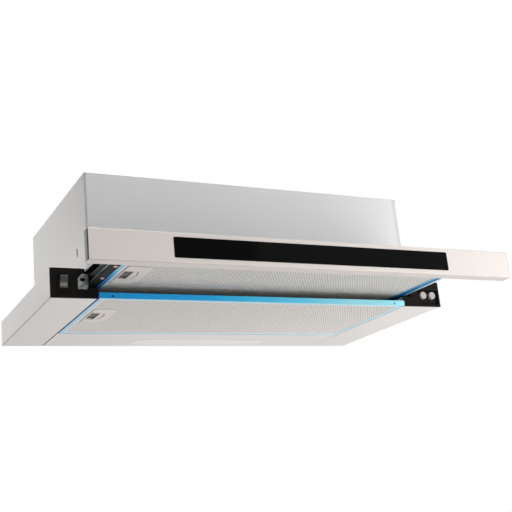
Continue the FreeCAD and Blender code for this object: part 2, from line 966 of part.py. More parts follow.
def filterFrame(y0, z0):
    outer = box(filterLeft, filterRight, y0, y0 + filterDepth, z0, z0 + filterThick)
    t = filterSheet
    hollow = box(
        filterLeft + t,
        filterRight - t,
        y0 + t,
        y0 + filterDepth - t,
        z0 + t,
        z0 + filterThick - t,
    )
    window = box(
        filterLeft + filterFlange,
        filterRight - filterFlange,
        y0 + filterFlange,
        y0 + filterDepth - filterFlange,
        z0 - 1,
        z0 + filterThick + 1,
    )
    frame = cut(outer, [hollow, window])
    tabs = []
    low = z0 + filterTabLow
    for middle in (y0 + filterTabInset, y0 + filterDepth - filterTabInset):
        half = filterTabWidth / 2
        reach = filterRight + filterTabReach
        tabs.append(box(filterRight - t, reach, middle - half, middle + half, low, low + filterTabThick))
    holes = [tongueSlot(filterLeft - 1, filterLeft + 2, y0, z0)]
    for x in (filterLeft + filterHoleInset, filterRight - filterHoleInset):
        start = (x, y0 - 1, z0 + filterThick * 0.4)
        holes.append(rod(start, (0, 1, 0), filterHoleRadius, t + 1.05))
    return cut(fuse([frame] + tabs), holes)


def latchMiddle(y0):
    return y0 + latchFromFront + latchLength / 2


def filterMesh(y0, z0):
    t = filterSheet + meshGap
    pack = box(
        filterLeft + t,
        filterRight - t,
        y0 + t,
        y0 + filterDepth - t,
        z0 + t,
        z0 + filterThick - t,
    )
    left = filterLeft + latchFromFrame
    sliderTop = z0 + latchPlateThick - latchPlateDrop + tongueThick + 2 * slideClearance
    pocket = box(
        left - slideClearance,
        left + latchWidth + slideClearance,
        y0 + latchFromFront - slideClearance,
        y0 + latchFromFront + latchLength + slideClearance,
        z0 - 1,
        sliderTop,
    )
    half = tongueWidth / 2 + 2 * slideClearance
    middle = latchMiddle(y0)
    channel = box(filterLeft, left + 1, middle - half, middle + half, z0 - 1, sliderTop)
    return cut(pack, [pocket, channel])


def latchPlate(y0, z0):
    x0 = filterLeft + latchFromFrame
    x1 = x0 + latchWidth
    front = y0 + latchFromFront
    rear = front + latchLength
    outline = [(x0, front), (x1, front), (x1, rear), (x0, rear)]
    radii = [latchSmallRadius, latchSmallRadius, latchCornerRadius, latchSmallRadius]
    low = z0 - latchPlateDrop
    plate = prism(outline, radii, "Z", low, latchPlateThick)
    middle = latchMiddle(y0)
    wx = x0 + windowFromEdge
    window = prism(
        [
            (wx, middle - windowLength / 2),
            (wx + windowWidth, middle - windowLength / 2),
            (wx + windowWidth, middle + windowLength / 2),
            (wx, middle + windowLength / 2),
        ],
        1.2,
        "Z",
        low - 1,
        latchPlateThick + 2,
    )
    slitX = wx + windowWidth + 5.5
    ends = [Vector(slitX - 1.5, middle - windowLength / 2, low - 1)]
    ends.append(Vector(slitX + 1.5, middle, low - 1))
    ends.append(Vector(slitX - 1.5, middle + windowLength / 2, low - 1))
    near = Part.Arc(*ends).toShape()
    far = Part.Arc(*[p + Vector(latchSlitWidth, 0, 0) for p in ends]).toShape()
    closing = [
        Part.LineSegment(ends[0], ends[0] + Vector(latchSlitWidth, 0, 0)).toShape(),
        Part.LineSegment(ends[2], ends[2] + Vector(latchSlitWidth, 0, 0)).toShape(),
    ]
    ring = Part.Wire([near, closing[1], far, closing[0]])
    slit = Part.Face(ring).extrude(Vector(0, 0, latchPlateThick + 2))
    return cut(plate, [window, slit])


def latchSlider(y0, z0):
    """Tongue, flat slide and finger grip of the latch, in one moulding."""
    middle = latchMiddle(y0)
    half = tongueWidth / 2
    low = z0 + latchPlateThick - latchPlateDrop + 0.1
    x0 = filterLeft - tongueReach
    x1 = filterLeft + latchFromFrame + sliderLength - latchTravel - 2.0
    slide = box(x0, x1, middle - half, middle + half, low, low + tongueThick)
    gripX = filterLeft + latchFromFrame + windowFromEdge + 2.0
    gripLow = z0 - latchPlateDrop + 0.2
    grip = box(gripX, gripX + gripThick, middle - half, middle + half, gripLow, low + 0.1)
    return fuse([slide, grip])


# Lamp

def makeReflector():
    outer = lensSolid(4.0, sheet, reflectorHeight)
    inner = lensSolid(4.0 - reflectorWall, sheet - 1, reflectorHeight - reflectorWall + 1)
    return outer.cut(inner)


def makeLampLens():
    face = lensSolid(0.0, -lensProud, lensProud + sheet)
    rim = lensSolid(2.0, sheet, lensThick - sheet)
    return fuse([face, rim])


def makeLampBoard():
    top = sheet + reflectorHeight - reflectorWall
    y = -lensFromWall
    half = lensLength / 2 - lensWidth / 2
    board = box(
        lensCentreX - half,
        lensCentreX + half,
        y - lampBoardWidth / 2,
        y + lampBoardWidth / 2,
        top - lampBoardThick,
        top,
    )
    shapes = [board]
    for i in range(ledCount):
        x = lensCentreX - half + (i + 0.5) * 2 * half / ledCount
        low = top - lampBoardThick
        side = ledSide / 2
        shapes.append(box(x - side, x + side, y - side, y + side, low - 1.0, low))
    return fuse(shapes)


# Fan

def voluteFace(grow, x):
    """Outline of the scroll in a plane of constant X, grown by the wall."""
    def place(y, z):
        return Vector(x, yFan + y, fanCentreZ + z)

    top = topUnder - fanCentreZ
    bigRadius = scrollStart + scrollShift + grow
    left = scrollShift - bigRadius
    right = scrollShift + bigRadius
    smallRadius = scrollStart + grow
    tongueY = -tongueOffset - grow
    tongueZ = math.sqrt(smallRadius**2 - tongueY**2)
    turn = math.atan2(tongueZ, tongueY)
    mid = (math.pi + turn) / 2
    edges = [
        Part.Arc(place(left, 0), place(scrollShift, -bigRadius), place(right, 0)).toShape(),
        Part.LineSegment(place(right, 0), place(right, top)).toShape(),
        Part.LineSegment(place(right, top), place(tongueY, top)).toShape(),
        Part.LineSegment(place(tongueY, top), place(tongueY, tongueZ)).toShape(),
        Part.Arc(
            place(tongueY, tongueZ),
            place(smallRadius * math.cos(mid), smallRadius * math.sin(mid)),
            place(left, 0),
        ).toShape(),
    ]
    return Part.Face(Part.Wire(edges))


def scrollInside():
    return wheelWidth / 2 + scrollSideGap


def makeScrollRight():
    inside = scrollInside()
    outer = voluteFace(scrollWall, 0).extrude(Vector(inside + scrollWall, 0, 0))
    inner = voluteFace(0, -1).extrude(Vector(inside + 1, 0, 0))
    inlet = rod((inside - 1, yFan, fanCentreZ), (1, 0, 0), inletRadius, scrollWall + 2)
    return cut(outer, [inner, inlet])


def makeScrollLeft():
    return makeScrollRight().mirror(Vector(0, 0, 0), Vector(1, 0, 0))


def wheelBlade(x0, x1):
    """One forward-curved blade of the wheel, at the top of its circle."""
    inner = wheelRadius - bladeDepth
    a = Vector(x0, yFan, fanCentreZ + inner + 0.3)
    b = Vector(x0, yFan - bladeDepth / 3, fanCentreZ + wheelRadius - 0.6)
    middle = (a + b) * 0.5 + Vector(0, bladeDepth / bladeCurve, 0)
    shift = Vector(0, bladeThick, 0)
    outline = Part.Wire(
        [
            Part.Arc(a, middle, b).toShape(),
            Part.LineSegment(b, b + shift).toShape(),
            Part.Arc(b + shift, middle + shift, a + shift).toShape(),
            Part.LineSegment(a + shift, a).toShape(),
        ]
    )
    return Part.Face(outline).extrude(Vector(x1 - x0, 0, 0))


def makeImpeller():
    """Hub plate and the two end rings; the blades stand between them."""
    half = wheelWidth / 2
    plate = rod((-hubPlate / 2, yFan, fanCentreZ), (1, 0, 0), wheelRadius, hubPlate)
    hub = rod((hubPlate / 2 + 3 - hubLength, yFan, fanCentreZ), (1, 0, 0), hubRadius, hubLength)
    bore = rod((-half, yFan, fanCentreZ), (1, 0, 0), shaftRadius + 0.02, wheelWidth)
    solids = [cut(fuse([plate, hub]), bore)]
    eye = rod((-half - 1, yFan, fanCentreZ), (1, 0, 0), wheelRadius - bladeDepth, wheelWidth + 2)
    for x in (-half, half - wheelRing):
        solids.append(cut(rod((x, yFan, fanCentreZ), (1, 0, 0), wheelRadius, wheelRing), eye))
    return group(solids)


def makeImpellerBlades():
    half = wheelWidth / 2
    blades = []
    for x0, x1 in ((-half + wheelRing, -hubPlate / 2), (hubPlate / 2, half - wheelRing)):
        blade = wheelBlade(x0, x1)
        for i in range(bladeCount):
            turned = blade.copy()
            turned.rotate(Vector(0, yFan, fanCentreZ), Vector(1, 0, 0), 360.0 * i / bladeCount)
            blades.append(turned)
    return group(blades)


def motorStart():
    return motorGap


def makeMotorShaft():
    start = hubPlate / 2 + 3 - hubLength - 3.0
    return rod((start, yFan, fanCentreZ), (1, 0, 0), shaftRadius, shaftLength)


def makeMotor():
    start = motorStart()
    body = rod((start, yFan, fanCentreZ), (1, 0, 0), motorRadius, motorLength)
    rims = [e for e in body.Edges if e.BoundBox.XLength < 1e-6]
    body = body.makeFillet(3.0, rims)
    bore = shaftRadius + runningClearance
    return cut(body, rod((start - 1, yFan, fanCentreZ), (1, 0, 0), bore, motorLength + 2))


def makeMotorBracket():
    face = scrollInside() + scrollWall
    outer = rod((face, yFan, fanCentreZ), (1, 0, 0), inletRadius + bracketRingWidth, bracketThick)
    ring = outer.cut(rod((face - 1, yFan, fanCentreZ), (1, 0, 0), inletRadius, bracketThick + 2))
    start = motorStart() + motorLength
    hub = rod((start, yFan, fanCentreZ), (1, 0, 0), 14.0, face + bracketThick - start)
    pieces = [ring, hub]
    holes = [rod((start - 1, yFan, fanCentreZ), (1, 0, 0), shaftRadius + 2.0, 8.0)]
    for i in range(3):
        half = bracketArmWidth / 2
        arm = box(
            face,
            face + bracketThick,
            yFan - half,
            yFan + half,
            fanCentreZ + 8.0,
            fanCentreZ + inletRadius + 1.0,
        )
        arm.rotate(Vector(0, yFan, fanCentreZ), Vector(1, 0, 0), 120.0 * i + 60.0)
        pieces.append(arm)
    return cut(fuse(pieces), holes)


def makeCapacitor():
    y = -sheet - capacitorGap - capacitorRadius
    can = rod((capacitorX, y, capacitorZ), (0, 0, 1), capacitorRadius, capacitorLength)
    rims = [e for e in can.Edges if e.BoundBox.ZMin > capacitorZ + capacitorLength - 1e-6]
    can = can.makeFillet(2.0, rims)
    foot = box(
        capacitorX - capacitorFootWidth / 2,
        capacitorX + capacitorFootWidth / 2,
        -sheet - capacitorGap - capacitorFootThick,
        -sheet,
        capacitorZ + capacitorFootLow,
        capacitorZ + capacitorFootLow + capacitorFootHeight,
    )
    return fuse([can, foot])


# Outlet collar, flaps and pin

def flapZ():
    return boxTop + flapHeight


def collarBore():
    return collarRadius - collarWall


def collarScrewPlaces():
    places = []
    radius = (collarRadius + collarFlangeRadius) / 2
    for i in range(4):
        turn = math.radians(45 + 90 * i)
        places.append((radius * math.cos(turn), yCollar + radius * math.sin(turn)))
    return places


def makeCollar():
    flange = rod((0, yCollar, boxTop), (0, 0, 1), collarFlangeRadius, collarFlangeThick)
    tube = rod((0, yCollar, boxTop), (0, 0, 1), collarRadius, collarHeight)
    bore = rod((0, yCollar, boxTop - 1), (0, 0, 1), collarBore(), collarHeight + 2)
    zLedge = flapZ() - flapThick / 2 - 0.2
    ledge = rod((0, yCollar, zLedge - 1.4), (0, 0, 1), collarRadius - 0.5, 1.4)
    ledge = ledge.cut(rod((0, yCollar, zLedge - 3), (0, 0, 1), collarBore() - ledgeReach, 5))
    relief = box(-collarRadius, collarRadius, yCollar - 4, yCollar + 4, zLedge - 3, zLedge + 1)
    ledge = ledge.cut(relief)
    holes = []
    for x, y in collarScrewPlaces():
        holes.append(rod((x, y, boxTop - 1), (0, 0, 1), screwRadius + 0.05, 5))
    start = (-collarRadius - 1, yCollar, flapZ())
    holes.append(rod(start, (1, 0, 0), flapPinRadius + 0.04, 2 * collarRadius + 2))
    shell = fuse([flange, tube]).cut(bore)
    return cut(fuse([shell, ledge]), holes)


def knuckleStart(index):
    return -knucklePitch * knuckleCount / 2 + 1.0 + knucklePitch * index


def makeFlap(side):
    """side is -1 for the flap towards the front and 1 for the one towards the wall."""
    z = flapZ()
    low = z - flapThick / 2
    disc = rod((0, yCollar, low), (0, 0, 1), collarBore() - flapGap, flapThick)
    inner = knuckleRadius + 0.4
    span = 2 * collarRadius
    halfPlane = box(-span, span, yCollar + side * inner, yCollar + side * span, low - 1, z + 2)
    pieces = [disc.common(halfPlane)]
    holes = []
    for index in range(knuckleCount):
        x0 = knuckleStart(index)
        if (index % 2 == 0) == (side < 0):
            pieces.append(rod((x0, yCollar, z), (1, 0, 0), knuckleRadius, knuckleLength))
            y1 = yCollar + side * (inner + 0.5)
            pieces.append(box(x0, x0 + knuckleLength, yCollar, y1, low, low + flapThick))
    start = (-span, yCollar, z)
    holes.append(rod(start, (1, 0, 0), flapPinRadius + runningClearance, 2 * span))
    return cut(fuse(pieces), holes)


def makeFlapPin():
    half = collarRadius - 0.3
    return rod((-half, yCollar, flapZ()), (1, 0, 0), flapPinRadius, 2 * half)


def screwAt(x, y, z, grip):
    head = rod((x, y, z), (0, 0, 1), screwHeadRadius, screwHeadHeight)
    rims = [e for e in head.Edges if e.BoundBox.ZMin > z + screwHeadHeight - 1e-6]
    head = head.makeFillet(screwHeadHeight * 0.45, rims)
    shank = rod((x, y, z - grip), (0, 0, 1), screwRadius, grip + 0.5)
    cross = []
    for wide, deep in ((3.4, 0.8), (0.8, 3.4)):
        cross.append(
            box(
                x - wide / 2,
                x + wide / 2,
                y - deep / 2,
                y + deep / 2,
                z + screwHeadHeight - 0.9,
                z + screwHeadHeight + 1,
            )
        )
    return cut(fuse([head, shank]), cross)


def makeCollarScrews():
    z = boxTop + collarFlangeThick
    grip = collarFlangeThick + sheet + 3.0
    return group([screwAt(x, y, z, grip) for x, y in collarScrewPlaces()])


# Electrical pieces

def makeTerminalBox():
    x0 = terminalCentreX - terminalWidth / 2
    x1 = terminalCentreX + terminalWidth / 2
    y0 = -terminalFromWall - terminalDepth / 2
    y1 = -terminalFromWall + terminalDepth / 2
    low = topUnder - terminalHeight
    outer = box(x0, x1, y0, y1, low, topUnder)
    t = terminalWall
    inner = box(x0 + t, x1 - t, y0 + t, y1 - t, low + t, topUnder + 1)
    return outer.cut(inner)


def makeCableGland():
    x = terminalCentreX
    y = -terminalFromWall
    flange = rod((x, y, boxTop), (0, 0, 1), glandFlange, glandHeight)
    rims = [e for e in flange.Edges if e.BoundBox.ZMin > boxTop + glandHeight - 1e-6]
    flange = flange.makeFillet(1.5, rims)
    stem = rod((x, y, boxTop - glandReach), (0, 0, 1), glandStem, glandReach)
    bore = rod((x, y, boxTop - glandReach - 1), (0, 0, 1), glandBore, glandReach + glandHeight + 2)
    return cut(fuse([flange, stem]), bore)


def lead(points):
    """A lead of straight runs joined by tangent arcs."""
    corners = [Vector(*p) for p in points]
    edges = []
    start = corners[0]
    for i in range(1, len(corners) - 1):
        before = (corners[i - 1] - corners[i])
        after = (corners[i + 1] - corners[i])
        setback = 0.45 * min(before.Length, after.Length)
        a = corners[i] + before.normalize() * setback
        b = corners[i] + after.normalize() * setback
        half = before.getAngle(after) / 2
        radius = setback * math.tan(half)
        toCentre = (before + after).normalize()
        middle = corners[i] + toCentre * (radius / math.sin(half) - radius)
        edges.append(Part.LineSegment(start, a).toShape())
        edges.append(Part.Arc(a, middle, b).toShape())
        start = b
    edges.append(Part.LineSegment(start, corners[-1]).toShape())
    path = Part.Wire(edges)
    direction = corners[1] - corners[0]
    section = Part.Wire([Part.makeCircle(leadDiameter / 2, corners[0], direction)])
    return path.makePipeShell([section], True, True)


def makeWiring():
    boxLow = topUnder - terminalHeight
    yFace = -terminalFromWall - terminalDepth / 2
    hubEnd = scrollInside() + scrollWall + bracketThick
    reflectorTop = sheet + reflectorHeight
    drop = boxLow - reflectorTop
    rearZ = returnHeight + 9.0
    yRear = -sheet - leadDiameter / 2 - 1.6
    xTerminal = terminalCentreX
    xWing = xSide - 22.0
    rockerBack = yFront + rockerBodyDepth
    buttonBack = yFront + pocketDepth + housingWall + buttonHead + 20.0
    xButtons = buttonLeftX + buttonPitch / 2
    motorLead = [
        (xTerminal - 10, yFace, boxLow + 20),
        (xTerminal - 10, yFace - 28, boxLow + 20),
        (xTerminal - 45, yFan + 8, boxLow + 4),
        (hubEnd + 22, yFan, fanCentreZ),
        (hubEnd, yFan, fanCentreZ),
    ]
    lampLead = [
        (xTerminal - 20, -terminalFromWall, boxLow),
        (xTerminal - 20, -terminalFromWall, boxLow - 0.37 * drop),
        (xTerminal - 40, -terminalFromWall + 6, boxLow - 0.74 * drop),
        (lensCentreX + 60, -lensFromWall, reflectorTop + 0.26 * drop),
        (lensCentreX + 60, -lensFromWall, reflectorTop),
    ]
    rightLead = [
        (xTerminal + 20, yRear - 18, boxLow),
        (xTerminal + 20, yRear - 18, boxLow - 0.28 * drop),
        (xTerminal + 24, yRear, boxLow - 0.65 * drop),
        (xTerminal + 34, yRear, rearZ + 8),
        (xTerminal + 62, yRear, rearZ),
        (xButtons - 4, yRear - 8, rearZ - 2),
        (xButtons, yRear - 50, buttonZ),
        (xButtons, buttonBack, buttonZ),
    ]
    leftLead = [
        (xTerminal, yRear - 14, boxLow),
        (xTerminal, yRear - 14, boxLow - 0.28 * drop),
        (xTerminal - 12, yRear, boxLow - 0.59 * drop),
        (xTerminal - 60, yRear, rearZ + 4),
        (0, yRear, rearZ),
        (-xWing + 70, yRear, rearZ + 1),
        (-xWing + 6, yRear - 8, rearZ),
        (rockerX, yRear - 60, rockerZ),
        (rockerX, rockerBack, rockerZ),
    ]
    return group([lead(route) for route in (motorLead, lampLead, rightLead, leftLead)])


os.makedirs("parts", exist_ok=True)

save("base_side_left", makeBaseSideLeft())
save("base_side_right", makeBaseSideRight())
save("base_back", makeBaseBack())
save("lamp_panel", makeLampPanel())
save("box_side_left", makeBoxSideLeft())
save("box_side_right", makeBoxSideRight())
save("box_front", makeBoxFront())
save("box_back", makeBoxBack())
save("box_top", makeBoxTop())

save("control_housing_left", makeControlHousingLeft())
save("control_housing_right", makeControlHousingRight())
save("rocker_switch_body", makeRockerSwitchBody())
save("rocker", makeRocker())
save("button_switch_body", makeButtonSwitchBody())
save("push_button_left", makePushButton(buttonPlaces()[0]))
save("push_button_right", makePushButton(buttonPlaces()[1]))

save("slide_brackets_left", group([frontBracketLeft()] + hangersLeft()))
save("slide_brackets_right", group([mirrorAtFilters(strap) for strap in hangersLeft()]))
save("slide_rail_fixed_left", fixedRailLeft())
save("slide_rail_fixed_right", mirrorAtFilters(fixedRailLeft()))
save("slide_ball_cage_left", group(ballCageLeft()))
save("slide_ball_cage_right", group([mirrorAtFilters(s) for s in ballCageLeft()]))
save("slide_rail_moving_left", movingRailLeft())
save("slide_rail_moving_right", movingRailRight())
save("visor_side_left", visorSideLeft())
save("visor_side_right", visorSideRight())
save("visor_rivets", group(visorRivets()))
save("visor_front_beam", makeFrontBeam())
save("visor_top_sheet", makeTopSheet())
save("visor_rear_bar", makeRearBar())
save("fascia_panel", makeFasciaPanel())
save("fascia_core", makeFasciaCore())
save("fascia_glass", makeFasciaGlass())

for name, y0, z0 in (("lower", lowerFilterY, 0.0), ("upper", upperFilterY, upperFilterZ)):
    save(name + "_filter_frame", filterFrame(y0, z0))
    save(name + "_filter_mesh", filterMesh(y0, z0))
    save(name + "_latch_plate", latchPlate(y0, z0))
    save(name + "_latch_slider", latchSlider(y0, z0))

save("lamp_lens", makeLampLens())
save("lamp_reflector", makeReflector())
save("lamp_board", makeLampBoard())

save("scroll_left", makeScrollLeft())
save("scroll_right", makeScrollRight())
save("impeller", makeImpeller())
save("impeller_blades", makeImpellerBlades())
save("motor_shaft", makeMotorShaft())
save("motor", makeMotor())
save("motor_bracket", makeMotorBracket())
save("capacitor", makeCapacitor())

save("duct_collar", makeCollar())
save("flap_front", makeFlap(-1))
save("flap_rear", makeFlap(1))
save("flap_pin", makeFlapPin())
save("collar_screws", makeCollarScrews())
save("terminal_box", makeTerminalBox())
save("cable_gland", makeCableGland())
save("wiring", makeWiring())
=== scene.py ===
import math

import bmesh
import bpy
from mathutils import Euler, Matrix, Vector


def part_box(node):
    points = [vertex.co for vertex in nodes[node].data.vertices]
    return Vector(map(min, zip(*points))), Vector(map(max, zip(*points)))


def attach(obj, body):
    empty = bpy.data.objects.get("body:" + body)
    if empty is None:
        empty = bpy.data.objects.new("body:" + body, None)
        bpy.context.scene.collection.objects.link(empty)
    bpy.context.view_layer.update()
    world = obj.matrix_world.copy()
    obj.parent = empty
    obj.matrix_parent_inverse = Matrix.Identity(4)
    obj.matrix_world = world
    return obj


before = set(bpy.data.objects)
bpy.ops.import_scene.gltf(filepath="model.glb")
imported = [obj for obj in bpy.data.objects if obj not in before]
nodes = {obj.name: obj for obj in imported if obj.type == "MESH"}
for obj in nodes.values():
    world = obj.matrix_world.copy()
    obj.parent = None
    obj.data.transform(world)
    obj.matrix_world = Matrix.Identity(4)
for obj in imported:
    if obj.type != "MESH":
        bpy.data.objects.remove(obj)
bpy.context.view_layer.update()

mm = 0.001
print("frame loaded:", len(nodes), "nodes")


# Materials

def linear(hexColour):
    # an sRGB hex colour as linear light
    parts = [int(hexColour[i:i + 2], 16) / 255 for i in (1, 3, 5)]
    return [c / 12.92 if c <= 0.04045 else ((c + 0.055) / 1.055) ** 2.4 for c in parts] + [1.0]


def newMaterial(name, values):
    material = bpy.data.materials.new(name)
    material.use_nodes = True
    shader = material.node_tree.nodes["Principled BSDF"]
    for socket, value in values.items():
        shader.inputs[socket].default_value = value
    return material, shader


def addNode(material, kind, settings=None, links=None):
    # settings name a property or an input; links go into inputs
    node = material.node_tree.nodes.new(kind)
    for key, value in (settings or {}).items():
        if isinstance(key, str) and hasattr(node, key):
            setattr(node, key, value)
        else:
            node.inputs[key].default_value = value
    for key, source in (links or {}).items():
        material.node_tree.links.new(source, node.inputs[key])
    return node


def feed(material, shader, socket, source):
    material.node_tree.links.new(source, shader.inputs[socket])


def pastBox(material, place, centre, half):
    # how far a point lies outside a box, by axis: below zero within it
    fromCentre = addNode(material, "ShaderNodeVectorMath", {"operation": "SUBTRACT", 1: centre}, {0: place})
    away = addNode(
        material, "ShaderNodeVectorMath", {"operation": "ABSOLUTE"}, {0: fromCentre.outputs["Vector"]}
    )
    past = addNode(
        material, "ShaderNodeVectorMath", {"operation": "SUBTRACT", 1: half}, {0: away.outputs["Vector"]}
    )
    return addNode(material, "ShaderNodeSeparateXYZ", {}, {"Vector": past.outputs["Vector"]}).outputs


# How far the tones along a line stray from their place, as a share of its length
wander = 0.06


def tonesAlong(material, place, line, stops, strayNoise):
    # tones from one end of a line to the other, straying a little either way with a noise
    start, end = Vector(line[0]), Vector(line[1])
    run = addNode(material, "ShaderNodeVectorMath", {"operation": "SUBTRACT", 1: start}, {0: place})
    share = addNode(
        material,
        "ShaderNodeVectorMath",
        {"operation": "DOT_PRODUCT", 1: (end - start) / (end - start).length_squared},
        {0: run.outputs["Vector"]},
    )
    stray = addNode(material, "ShaderNodeMapRange", {"To Min": -wander, "To Max": wander}, {"Value": strayNoise})
    reach = addNode(
        material,
        "ShaderNodeMath",
        {"operation": "ADD", "use_clamp": True},
        {0: share.outputs["Value"], 1: stray.outputs["Result"]},
    )
    band = addNode(material, "ShaderNodeValToRGB", {}, {"Fac": reach.outputs["Value"]})
    points = band.color_ramp.elements
    points[0].position, points[0].color = stops[0][0], linear(stops[0][1])
    points[1].position, points[1].color = stops[-1][0], linear(stops[-1][1])
    for position, tone in stops[1:-1]:
        points.new(position).color = linear(tone)
    return band.outputs["Color"]


def mottled(name, look, values):
    # two near tones in soft patches, a fine relief, and a finish that varies a little
    material, shader = newMaterial(name, values)
    place = addNode(material, "ShaderNodeTexCoord").outputs["Object"]
    patches = addNode(
        material,
        "ShaderNodeTexNoise",
        {"Scale": 1000 / look["patch"], "Detail": 3.0, "Roughness": 0.55},
        {"Vector": place},
    )
    tones = addNode(
        material,
        "ShaderNodeMix",
        {"data_type": "RGBA", 6: linear(look["tones"][0]), 7: linear(look["tones"][1])},
        {0: patches.outputs["Fac"]},
    )
    tone = tones.outputs[2]
    for mark in look.get("marks", ()):
        # a box of the surface in another tone
        past = pastBox(material, place, mark["centre"], mark["half"])
        most = past["X"]
        for axis in ("Y", "Z"):
            most = addNode(
                material, "ShaderNodeMath", {"operation": "MAXIMUM"}, {0: most, 1: past[axis]}
            ).outputs["Value"]
        within = addNode(material, "ShaderNodeMath", {"operation": "LESS_THAN", 1: 0.0}, {0: most})
        tone = addNode(
            material,
            "ShaderNodeMix",
            {"data_type": "RGBA", 7: linear(mark["tone"])},
            {0: within.outputs["Value"], 6: tone},
        ).outputs[2]
    feed(material, shader, "Base Color", tone)
    grain = addNode(
        material,
        "ShaderNodeTexNoise",
        {"Scale": 1000 / look["grain"], "Detail": 2.0},
        {"Vector": place},
    )
    relief = addNode(
        material,
        "ShaderNodeBump",
        {"Distance": look["relief"] * mm, "Strength": 1.0},
        {"Height": grain.outputs["Fac"]},
    )
    feed(material, shader, "Normal", relief.outputs["Normal"])
    gloss = addNode(
        material,
        "ShaderNodeMapRange",
        {"To Min": look["rough"][0], "To Max": look["rough"][1]},
        {"Value": patches.outputs["Fac"]},
    )
    feed(material, shader, "Roughness", gloss.outputs["Result"])
    return material


def dress(material, *names):
    for name in names:
        slots = nodes[name].data.materials
        slots.clear()
        slots.append(material)


# Powder enamelled steel, baked: satin gloss with a faint orange peel of about 2 mm
enamelLook = {
    "tones": ("#dcd7d3", "#e3deda"),
    "patch": 160.0,
    "grain": 2.2,
    "relief": 0.006,
    "rough": (0.36, 0.44),
}
enamel = mottled("steel, powder enamelled and baked", enamelLook, {"IOR": 1.5})
dress(
    enamel,
    "base_side_left",
    "base_side_right",
    "base_back",
    "lamp_panel",
    "box_back",
    "box_top",
)

# The box's front takes the enamel's look in cooler, paler tones
frontLook = dict(enamelLook, tones=("#e7e6e6", "#eeedee"))
dress(mottled("steel, powder enamelled cool white", frontLook, {"IOR": 1.5}), "box_front")

# Painted shade: a dark band around each of the sides' screw slots, standing in for the shade inside them
slotShade = {"tone": "#2a2321", "depth": (44.0, 230.2), "height": 75.7, "half": (3.0, 2.0, 5.6)}
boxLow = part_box("box_side_left")[0]
slotShadeMarks = []
for reach in slotShade["depth"]:
    for edge in (boxLow.x, -boxLow.x):
        centre = (edge, boxLow.y + reach * mm, slotShade["height"] * mm)
        half = tuple(d * mm for d in slotShade["half"])
        slotShadeMarks.append({"tone": slotShade["tone"], "centre": centre, "half": half})
sideLook = dict(enamelLook, marks=slotShadeMarks)
dress(mottled("steel, enamelled, slot shade painted", sideLook, {"IOR": 1.5}), "box_side_left", "box_side_right")

# The fascia's folded rims are a step darker: painted shade along the folds
fasciaRimShade = {"tone": "#cbc2bd", "lip": 1.0, "upper": 0.9, "end": 1.0}
low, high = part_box("fascia_panel")
middle, span = (low + high) / 2, high - low
rims = (
    ((middle.x, middle.y, low.z), (span.x, span.y, fasciaRimShade["lip"] * mm)),
    ((middle.x, middle.y, high.z), (span.x, span.y, fasciaRimShade["upper"] * mm)),
    ((high.x, middle.y, middle.z), (fasciaRimShade["end"] * mm, span.y, span.z)),
)
rimShadeMarks = [{"tone": fasciaRimShade["tone"], "centre": centre, "half": half} for centre, half in rims]
fasciaLook = dict(enamelLook, tones=("#e9e1dc", "#ede5e0"), marks=rimShadeMarks)
dress(mottled("steel, powder enamelled pale", fasciaLook, {"IOR": 1.5}), "fascia_panel")

# ABS, injection moulded in a spark-eroded tool: even satin, no gloss
absLook = {
    "tones": ("#0e0b0a", "#161210"),
    "patch": 25.0,
    "grain": 0.7,
    "relief": 0.02,
    "rough": (0.55, 0.66),
}
blackAbs = mottled("ABS, moulded, satin black", absLook, {"IOR": 1.5, "Specular IOR Level": 0.08})
dress(
    blackAbs,
    "control_housing_left",
    "control_housing_right",
    "rocker_switch_body",
    "button_switch_body",
    "fascia_core",
    "terminal_box",
    "cable_gland",
    "duct_collar",
    "flap_front",
    "flap_rear",
)

# Polyamide, moulded: glossy, with a painted highlight, a bright band low down that stands in for a reflection
rockerHighlightLook = {
    "stops": (
        (0.0, "#3a3634"),
        (0.15, "#6b6663"),
        (0.3, "#a8a29e"),
        (0.42, "#6b6663"),
        (0.55, "#2a2624"),
        (1.0, "#1c1918"),
    ),
    "jitter": 9.0,
    "rough": (0.2, 0.32),
}


def rockerSkin():
    low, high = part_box("rocker")
    material, shader = newMaterial("polyamide, moulded, painted highlight", {"IOR": 1.53})
    place = addNode(material, "ShaderNodeTexCoord").outputs["Object"]
    jitter = addNode(
        material, "ShaderNodeTexNoise", {"Scale": 1000 / rockerHighlightLook["jitter"], "Detail": 2.0}, {"Vector": place}
    ).outputs["Fac"]
    # the bright band low on the rocker is a painted highlight
    tone = tonesAlong(material, place, ((0, 0, low.z), (0, 0, high.z)), rockerHighlightLook["stops"], jitter)
    feed(material, shader, "Base Color", tone)
    rough = rockerHighlightLook["rough"]
    gloss = addNode(material, "ShaderNodeMapRange", {"To Min": rough[0], "To Max": rough[1]}, {"Value": jitter})
    feed(material, shader, "Roughness", gloss.outputs["Result"])
    return material


dress(rockerSkin(), "rocker")

# ABS, moulded with a fine grain: grey satin with soft highlights
buttonLook = {
    "tones": ("#aaa3a0", "#b9b1ad"),
    "patch": 6.0,
    "grain": 0.5,
    "relief": 0.01,
    "rough": (0.32, 0.42),
}
dress(
    mottled("ABS, moulded, grey satin", buttonLook, {"IOR": 1.5}),
    "push_button_left",
    "push_button_right",
)


